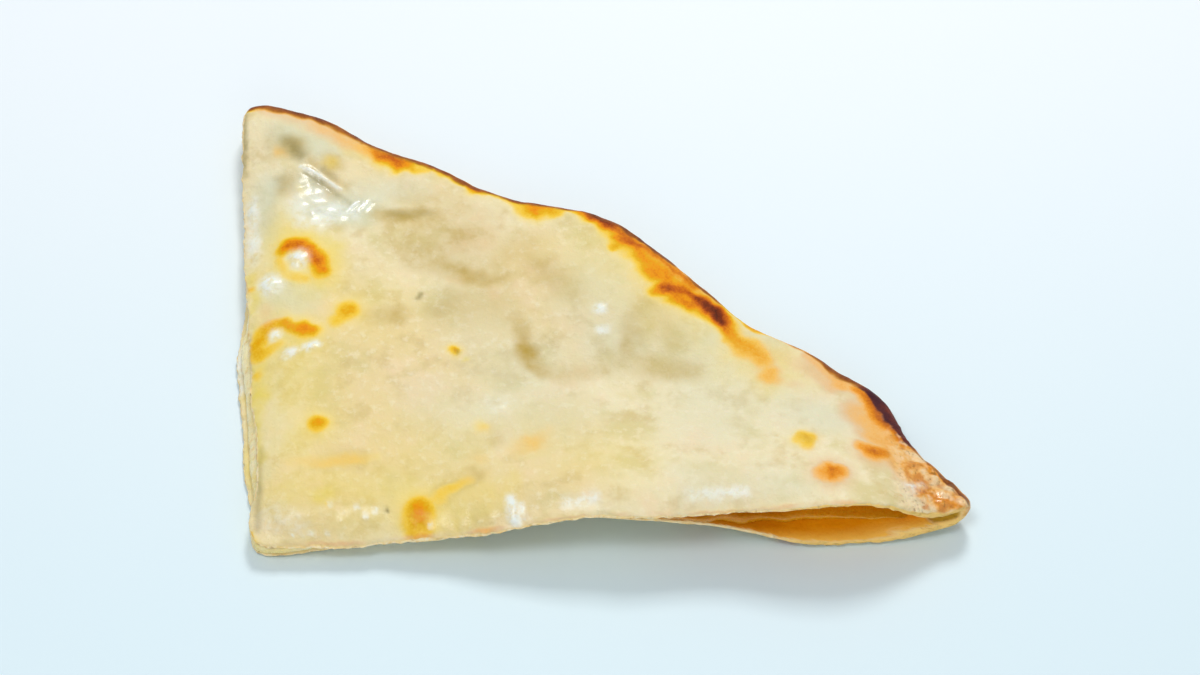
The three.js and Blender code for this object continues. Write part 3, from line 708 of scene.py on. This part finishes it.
# browning wanders most, blisters less, and beads and folds least
warp = sway(3.2, (1, 2), 0.9)
wander = sway(9, (21, 22), 1.6)
bent = places + warp
less_bent = places + warp * 0.45
least_bent = places + warp * 0.3
blistered = painted(less_bent, BLISTERS, core=0.1)
browned = np.maximum(blistered, painted(bent, SCORCHED, core=0.1, reach=1.7))
halo = painted(less_bent, BLISTERS, core=0.4, reach=2.9)
halo = np.maximum(halo, painted(bent, SCORCHED, core=0.4, reach=2.6))
browned = np.maximum(browned, 0.34 * halo)
rosy = np.maximum(painted(bent, ROSY, core=0.4, reach=1.5), steps(along, 90, 99))
rosy *= 1 - painted(less_bent, STILL_GOLD, core=0.6)
burnt = painted(bent, BURNT, core=0.4, reach=1.2)
# painted olive shade with some tint, painted shade with a few dark specks, and painted highlights
olive = painted(bent, OLIVE_SHADE_AND_TINT)
shaded = painted(less_bent, SHADE_AND_SPECKS, reach=2.0)
paled = painted(less_bent, PAINTED_HIGHLIGHTS, core=0.1)
greyed = painted(bent + wander, GREYED)
yellowed = painted(bent + wander, YELLOWED)
oiled = np.maximum(painted(bent, OILED, core=0.3, reach=1.2), 0.7 * paled)

# the skin along the cuts' edges is browned a little, less so along the short cut
lip = away_from_crust * fade(to_cut, 0.2, 1.1) * (1 - cut_face)
lip *= 0.5 + 0.5 * steps(to_short_cut - to_long_cut, -2, 2)
browned = np.maximum(browned, lip * (0.13 + 0.14 * ripple(level, 6, 29, 3)))
rosy = np.maximum(rosy, lip)

# the crust's rounded side is baked in patches all along
baked = 0.2 + 0.3 * ripple(level, 8, 3) + 0.2 * ripple(points, 2.6, 26) + 0.2 * steps(upward, -0.5, 0.3)
browned = np.maximum(browned * np.maximum(np.maximum(top, side), 0.8 * lip), side * baked)
rosy = np.maximum(rosy, 0.85 * side)
burnt = burnt * np.maximum(top, side)

# a thin dark line runs along the crust's upper edge, with a brown band under it
rim_width = 0.7 + 1.9 * steps(to_long_cut, 14, 28) + 0.5 * steps(to_long_cut, 70, 84)
rim_width += 0.4 * fade(along, 8, 20)
rim_width *= 1 - 0.3 * band(along, (68, 76), (100, 106))
rim = 1 - steps(to_crust + 0.5 * ripple(points, 3.2, 24, 3), 0.35 * rim_width, 1.25 * rim_width)
browned = np.maximum(browned, 0.46 * rim * steps(upward, -0.2, 0.3) * np.maximum(top, side))
rim *= 0.94 + 0.3 * ripple(level, 9, 25) + 0.24 * ripple(points, 2.8, 30, 3) + 0.24 * fade(along, 4, 18)
rim *= steps(upward + 0.5 * ripple(points, 2.4, 27, 3), -0.15, 0.6)
# it is broken up on the outer side, and faint beyond the darkest stretch of the crust
gaps = 1 - np.clip(0.6 + 1.1 * ripple(level, 7, 33, 3), 0.2, 1)
rim *= 1 - fade(upward, 0.5, 0.85) * gaps
rim *= 1 - 0.75 * band(along, (83, 88), (95, 100))


# Bread: its relief, in mm


def skin_relief():
    """How far the upper skin rises or sinks."""
    dent = painted(bent, [DENT], core=0.2)
    relief = 0.16 * ripple(level, 15, 4) + 0.05 * ripple(level, 4.5, 5, 3)
    relief += 0.9 * blistered
    for bead in BEADS:
        off, rise = distance_to_stroke(least_bent, bead)
        relief += rise * np.clip(1 - off * off, 0, 1) ** 1.5
    for fold in FOLDS:
        off, rise = distance_to_stroke(least_bent, fold)
        relief += rise * fade(off, 0, 1.5)
    relief += dent * (0.24 * (creases(level, 2.9, 6) - 0.35) + 0.14 * ripple(level, 1.7, 7))
    relief += by_long_cut * (0.14 * ripple(level, 2.1, 8) + 0.07 * (creases(level, 1.9, 9) - 0.3))
    puckers = creases(level * (0.6, 1.6, 1), 3.2, 10) - 0.3
    relief += by_short_cut * (0.16 * puckers + 0.06 * ripple(level, 1.5, 11))
    relief += tip * (0.5 * ripple(level * (1, 1.8, 1), 3.4, 12, 3) + 0.16 * ripple(level, 1.5, 13))
    relief += 0.055 * ripple(level, 2.1, 23)
    bubbles = np.maximum(0, ripple(level, 5.5, 14, 1) - 0.38)
    return relief + 0.8 * bubbles


points[:, 2] += skin_relief() * top

# the crust curls in underneath, below a height in mm, and is lumpy
CURL_HEIGHT = 5
lowness = np.clip(1 - points[:, 2] / CURL_HEIGHT, 0, 1)
curl = lowness ** 2 * fade(to_crust, 0.8, 5.5) * (1 - hidden)
points[:, :2] -= outwards * (1.4 * curl)[:, None]
points[:, 2] += 0.5 * curl
lumps = fade(to_crust, 2, 7) * (1 - top * 0.4) * (1 - hidden)
push_out(points, facing, lumps * (0.3 * ripple(points, 4.6, 15, 3)))
points[:, :2] += outwards * (side * 0.3 * ripple(level, 9, 28))[:, None]

# the lips of the cuts are torn
torn = near_cut * away_from_crust * fade(to_cut, 0.6, 2.2)
at_long_cut = to_long_cut < to_short_cut
for axis, seed, here in ((1, 16, at_long_cut), (0, 17, ~at_long_cut)):
    points[:, axis] += np.where(here, torn * 0.3 * ripple(points, 1.3, seed), 0)
push_out(points, facing, cut_face * 0.1 * ripple(points, 1.1, 18, 3))

# the groove where the two layers meet again beyond the mouth, 1 mm lower at the pointed end
GROOVE_HEIGHT = 5.8
groove = fade(np.abs(points[:, 2] - GROOVE_HEIGHT + steps(along, 114, 121)), 0.3, 1.7)
groove *= cut_face * steps(along, 108, 114) * fade(along, 124.5, 128)
push_out(points, facing, -0.7 * groove)

push_out(points, facing, under * 0.1 * ripple(points, 6, 19, 3))
points[:, 2] = np.maximum(points[:, 2], 0)
move_to(bread, points)

# 0 at the mouth's lip, which lies farther back towards the pointed end, and 1 inside it
from_lip = steps(to_long_cut - 1.6 * steps(along, 100, 116), 0.0, 2.4)
write_masks(bread, {
    # on the skin
    "browned": browned,
    "burnt": burnt,
    "rim": rim,
    "rosy": rosy,
    "olive": olive * top,
    "greyed": greyed * top,
    "yellowed": yellowed * np.maximum(top, hidden),
    "shaded": shaded * top,
    "paled": paled * np.maximum(top, by_short_cut * (1 - hidden)),
    "oiled": np.maximum(oiled * top, 0.25 * lining),
    "tip": tip * np.maximum(top, side),
    "underside": under,
    # on the cuts
    "crumb": cut_face,
    # its ochre colour on the cut face is painted shade in the groove
    "groove": groove,
    # in the pocket
    "lining": lining,
    "mouth": lining * steps(along, 56, 84) * fade(to_long_cut, 16, 28),
    # painted light: a warm glow inside the pocket
    "glow": lining * steps(along, 74, 98) * (1 - 0.5 * steps(to_long_cut, 4, 16)),
    "front": lining * (1 - from_lip) * steps(along, 86, 100),
    # painted shade at the mouth's narrow end
    "gloom": lining * gloom_at(places),
})


# Bread: its finish

CREAM = linear(231, 211, 158)
LIGHT_CREAM = linear(235, 223, 184)
BRIGHT_CREAM = linear(246, 236, 206)
PEACHY_CREAM = linear(240, 216, 178)
WHEAT = linear(212, 198, 138)
DULL_WHEAT = linear(210, 188, 132)
BUTTER_YELLOW = linear(232, 210, 104)
GREY_GREEN = linear(208, 214, 192)
OLIVE_BROWN = linear(184, 154, 66)
HIGHLIGHT_MILK = linear(238, 243, 237)
FLOUR = linear(240, 236, 222)
SHADE_AND_SPECK_BROWN = linear(140, 128, 78)
EDGE_BROWN = linear(142, 84, 38)
EDGE_DARK = linear(92, 48, 28)
COAL_RED = linear(118, 52, 38)
COAL_PURPLE = linear(70, 32, 40)
# mottles of the pointed end
FLAKE_PALE = linear(247, 222, 180)
FLAKE_TAN = linear(204, 124, 48)
FLAKE_BROWN = linear(128, 88, 50)
# cuts
CRUMB_PALE = linear(255, 236, 194)
CRUMB_TAN = linear(252, 216, 150)
CRUMB_PORE = linear(222, 172, 108)
CRUMB_BY_CRUST = linear(255, 210, 126)
GROOVE_SHADE_OCHRE = linear(186, 138, 34)
# pocket
AMBER = linear(226, 148, 0)
LIGHT_AMBER = linear(238, 176, 24)
MOUTH_SHADE_AMBER = linear(200, 126, 8)
STRAW = linear(232, 184, 76)
POCKET_TAN = linear(226, 190, 112)
POCKET_PALE = linear(242, 220, 158)
NO_LIGHT = (0, 0, 0, 1)
WARM_GLOW = (0.08, 0.022, 0, 1)
# from hardly baked, 0, to charred, 1
GOLD_BAKE = [
    (0.0, linear(240, 222, 160)), (0.14, linear(242, 216, 124)), (0.3, linear(240, 198, 60)),
    (0.42, linear(228, 172, 8)), (0.54, linear(234, 148, 0)), (0.7, linear(198, 98, 0)),
    (0.84, linear(136, 52, 2)), (1.0, linear(60, 18, 6)),
]
PEACH_BAKE = [
    (0.0, linear(236, 220, 180)), (0.16, linear(228, 194, 150)), (0.3, linear(240, 186, 108)),
    (0.44, linear(236, 160, 54)), (0.56, linear(222, 134, 20)), (0.7, linear(186, 98, 20)),
    (0.84, linear(128, 62, 26)), (1.0, linear(62, 26, 22)),
]


def plain_skin(dough, broad, cloud, middle, fine):
    """Cream skin with its clouds and butter, grey-green patches, painted olive shade in its hollows, and
    flour on the underside.
    """
    flour = dough.ease(dough.mottle(3.4, 4, 0.65), 0.5, 0.7) * dough.mask("underside")
    return dough.layers(
        dough.blend(dough.ease(broad, 0.38, 0.62), CREAM, LIGHT_CREAM),
        (dough.ease(cloud, 0.5, 0.7) * 0.7, WHEAT),
        (dough.ease(cloud, 0.5, 0.3) * 0.6, PEACHY_CREAM),
        (dough.ease(middle, 0.5, 0.72) * 0.6, DULL_WHEAT),
        (dough.ease(fine, 0.5, 0.72) * 0.4, BRIGHT_CREAM),
        (dough.mask("yellowed") * dough.ease(middle, 0.2, 0.7, 0.6, 1.0), BUTTER_YELLOW),
        (dough.mask("greyed") * 0.85, GREY_GREEN),
        # painted olive shade in the hollows and folds, with some olive tint
        (dough.mask("olive") * dough.ease(middle, 0.15, 0.7, 0.5, 1.0), OLIVE_BROWN),
        (flour * 0.5, FLOUR),
    )


def baked_skin(dough, skin, middle, fine, dust, flakes):
    """The skin after the oven: gold to burnt marks, the crust's dark line and the mottled pointed end."""
    belly = dough.ease(dough.mottle(9, 3, 0.6), 0.5, 0.68)
    belly_tone = belly * dough.ease(fine, 0.2, 0.7, 0.6, 1.0) * 0.82 * dough.mask("underside")
    tone = dough.mask("browned")
    grain = (middle - 0.5) * 0.26 + (fine - 0.5) * 0.22 + (dust - 0.5) * 0.2
    rim = dough.mask("rim") * dough.ease(middle, 0.2, 0.6, 0.8, 1.0)
    tone = (tone + grain * dough.ease(tone, 0.08, 0.5)).or_more(belly_tone).or_more(rim * 0.9 + grain * rim)
    baked = dough.blend(dough.mask("rosy"), dough.ramp(tone, GOLD_BAKE), dough.ramp(tone, PEACH_BAKE))
    patches = dough.mottle(2.4, 2, 0.5)
    tip = dough.mask("tip")
    edge = dough.blend(dough.ease(fine, 0.35, 0.7), EDGE_DARK, EDGE_BROWN)
    char = dough.mask("burnt") * dough.ease(fine, 0.1, 0.6, 0.5, 1.0)
    coal = dough.blend(dough.ease(middle, 0.35, 0.65), COAL_RED, COAL_PURPLE)
    return dough.layers(
        skin,
        (dough.ease(tone, 0.0, 0.26), baked),
        (tip * dough.ease(patches, 0.44, 0.64) * 0.7, FLAKE_PALE),
        (tip * dough.ease(patches, 0.5, 0.34) * 0.7, FLAKE_TAN),
        (tip * dough.ease(flakes, 0.44, 0.28) * 0.6, FLAKE_BROWN),
        # painted shade in creases and grooves, and dark specks
        (dough.mask("shaded") * dough.ease(fine, 0.1, 0.7, 0.5, 0.9), SHADE_AND_SPECK_BROWN),
        # painted highlights where the skin is wet with butter
        (dough.mask("paled") * dough.ease(fine, 0.36, 0.58, 0.35, 1.0), HIGHLIGHT_MILK),
        (dough.ease(rim, 0.2, 0.7, 0.0, 0.76), edge),
        (dough.ease(char, 0.15, 0.75), coal),
    )


def crumb_colour(dough, middle, flakes, holes):
    """Pale crumb with soft pores, toasted where it meets the crust, and painted ochre shade in the groove."""
    crumb = dough.blend(dough.ease(flakes, 0.35, 0.65), CRUMB_TAN, CRUMB_PALE)
    crumb = dough.blend(holes * 0.5, crumb, CRUMB_PORE)
    crumb = dough.blend(dough.mask("rosy"), crumb, CRUMB_BY_CRUST, "DARKEN")
    return dough.blend(dough.ease(dough.mask("groove") + (middle - 0.5) * 0.4, 0.2, 0.8), crumb, GROOVE_SHADE_OCHRE)


def pocket_colour(dough, middle, fine):
    """The pocket's lining: amber by the mouth, with painted shade darkening its narrow end, pale farther in.
    """
    amber = dough.layers(
        dough.blend(middle, AMBER, LIGHT_AMBER),
        (dough.mask("gloom"), MOUTH_SHADE_AMBER),
        (dough.mask("front"), STRAW),
    )
    return dough.blend(dough.mask("mouth"), dough.blend(fine, POCKET_TAN, POCKET_PALE), amber)


def bread_finish():
    """Baked dough, from the skin to the crumb and the pocket."""
    dough = Finish(
        "baked_naan", subsurface_weight=0.12, subsurface_scale=0.0025,
        subsurface_radius=(1.0, 0.62, 0.3), specular_ior_level=0.1, coat_roughness=0.16, emission_strength=1,
    )
    broad = dough.mottle(30)
    cloud = dough.mottle(11, 3, 0.6)
    middle = dough.mottle(5, 3, 0.55)
    fine = dough.mottle(1.6, 3, 0.6)
    dust = dough.mottle(0.45, 2, 0.6)
    flakes = dough.mottle(1.1, 3, 0.6)
    layered = dough.node("ShaderNodeMapping", {}, {"Vector": dough.place, "Scale": (1, 1, 1.8)})
    holes = dough.ease(dough.mottle(1.1, 3, 0.6, layered), 0.52, 0.8)

    skin = plain_skin(dough, broad, cloud, middle, fine)
    skin = baked_skin(dough, skin, middle, fine, dust, flakes)
    dough.feed("Base Color", dough.layers(
        skin,
        (dough.mask("crumb"), crumb_colour(dough, middle, flakes, holes)),
        (dough.mask("lining"), pocket_colour(dough, middle, fine)),
    ))
    # painted light: a warm glow standing in for light that comes through the thin upper layer into the pocket
    dough.feed("Emission Color", dough.blend(dough.mask("glow"), NO_LIGHT, WARM_GLOW))

    oil = dough.mask("oiled")
    matt = 0.56 - oil * 0.3 + (middle - 0.5) * 0.14
    dough.feed("Roughness", matt + dough.mask("crumb") * 0.25 + dough.mask("underside") * 0.12)
    dough.feed("Coat Weight", oil * dough.ease(middle, 0.3, 0.6, 0.4, 1.0))
    height = middle * 0.5 + fine * 0.34 + dust * 0.1
    height = height - dough.mask("crumb") * holes * 0.5 + dough.mask("tip") * flakes
    dough.emboss(height, 0.7, 0.9)
    return dough.material


bread.data.materials.append(bread_finish())
bpy.ops.object.shade_smooth()
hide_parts("naan_bread")
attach(bread, "root")


# Cheese

# the widest gap in mm that the melted cheese still bridges
CLING = 1.8
# it reaches this far into the dough in mm, so that no gap shows
OVERLAP = 0.1
# a face that looks up or down less than this is a side, and stays
SIDEWAYS = 0.25
SMOOTHING_PASSES = 6
OWN_SHARE = 0.4
# the lower layer is looked for this far below the cheese, in mm, and this share of the gap is closed
DROP = 8
DROP_SHARE = 0.9


def smoothed(values, piece):
    """Values on a piece's points, evened out between neighbours."""
    edges = np.array([list(edge.vertices) for edge in piece.data.edges])
    neighbours = np.bincount(edges.ravel(), minlength=len(values))
    for _ in range(SMOOTHING_PASSES):
        summed = np.bincount(edges[:, 0], values[edges[:, 1]], len(values))
        summed += np.bincount(edges[:, 1], values[edges[:, 0]], len(values))
        values = OWN_SHARE * values + (1 - OWN_SHARE) * summed / neighbours
    return values


def pull_to_dough(points, facing, in_mouth):
    """How far each point rises or sinks to meet the dough, in mm, wherever the pocket is narrow."""
    pull = np.zeros(len(points))
    for index, (point, turned) in enumerate(zip(points, facing)):
        free = turned[2] > 0 and in_mouth[index] > 0.5
        if abs(turned[2]) < SIDEWAYS or free:
            continue
        away = Vector((0, 0, math.copysign(1, turned[2])))
        gap = dough_tree.ray_cast(Vector(point) * MM, away, CLING * MM)[3]
        if gap is not None:
            gap /= MM
            pull[index] = away.z * (gap + OVERLAP) * float(fade(gap, 0.6 * CLING, CLING))
    return pull


def thin_out(points, facing, thinning):
    """Lowers all but the cheese's lower face towards the bread under it, by a share from 0 to 1."""
    for index in np.flatnonzero((thinning > 0) & (facing[:, 2] > -0.6)):
        gap = dough_tree.ray_cast(Vector(points[index]) * MM, Vector((0, 0, -1)), DROP * MM)[3]
        if gap is not None:
            points[index, 2] -= gap / MM * DROP_SHARE * float(thinning[index])


cheese = rounded_copy("mozzarella_layer", "cheese")
dough_tree = surface_tree(bread)
points = positions(cheese)
facing = normals(cheese)
places = plan(points)
in_mouth = steps(places[:, 0], *MOUTH_OPENS) * fade(places[:, 1], 8, 16)
showing = fade(np.minimum(places[:, 1], from_short_cut(places)), 2, 9)
push_out(points, facing, showing * (0.22 * ripple(points, 2.6, 31, 3) + 0.1 * ripple(points, 0.9, 32)))
push_out(points, facing, in_mouth * (0.4 * ripple(points, 4.5, 33) + 0.2 * (creases(points, 3, 34) - 0.3)))
points[:, 2] += smoothed(pull_to_dough(points, facing, in_mouth), cheese)
# towards the pointed end it lies thin on the lower layer
thin_out(points, facing, steps(places[:, 0], 98, 116))
points[:, 1] -= in_mouth * (0.5 + 0.6 * ripple(flat(places), 5, 35)) * fade(places[:, 1], 3, 7)
move_to(cheese, points)
# in the mouth the cheese is amber, partly painted shade, and darkest at the narrow end, which is all painted
# shade
write_masks(cheese, {"shaded": in_mouth, "gloom": gloom_at(places)})

MELT_PALE = linear(250, 234, 184)
MELT_CREAM = linear(246, 220, 146)
MELT_TOASTED = linear(234, 192, 104)
MELT_AMBER = linear(214, 146, 8)
MELT_LIGHT_AMBER = linear(230, 172, 34)
MELT_SHADE_AMBER = linear(206, 136, 10)


def cheese_finish():
    """Melted cheese: pale and glossy at the cuts, amber in the mouth from its toasted colour and painted
    shade, with more painted shade at the mouth's narrow end.
    """
    melt = Finish(
        "melted_mozzarella", subsurface_weight=0.3, subsurface_scale=0.003,
        subsurface_radius=(1.0, 0.7, 0.35), ior=1.45, coat_roughness=0.1,
    )
    broad = melt.mottle(5)
    fine = melt.mottle(1.2, 3, 0.6)
    melt.feed("Base Color", melt.layers(
        melt.blend(melt.ease(broad, 0.35, 0.65), MELT_CREAM, MELT_PALE),
        (melt.ease(fine, 0.5, 0.7) * 0.6, MELT_TOASTED),
        (melt.mask("shaded"), melt.blend(broad, MELT_AMBER, MELT_LIGHT_AMBER)),
        (melt.mask("gloom"), MELT_SHADE_AMBER),
    ))
    melt.feed("Roughness", 0.2 + fine * 0.16)
    melt.feed("Coat Weight", melt.ease(broad, 0.4, 0.6) * (0.5 - melt.mask("shaded") * 0.4))
    upright = melt.node("ShaderNodeMapping", {}, {"Vector": melt.place, "Scale": (1, 1, 0.3)})
    strands = melt.mottle(0.8, 3, 0.6, upright)
    melt.emboss(broad * 0.5 + fine * 0.2 + strands * 0.5, 0.5, 0.8)
    return melt.material


cheese.data.materials.append(cheese_finish())
bpy.ops.object.shade_smooth()
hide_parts("mozzarella_layer")
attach(cheese, "root")
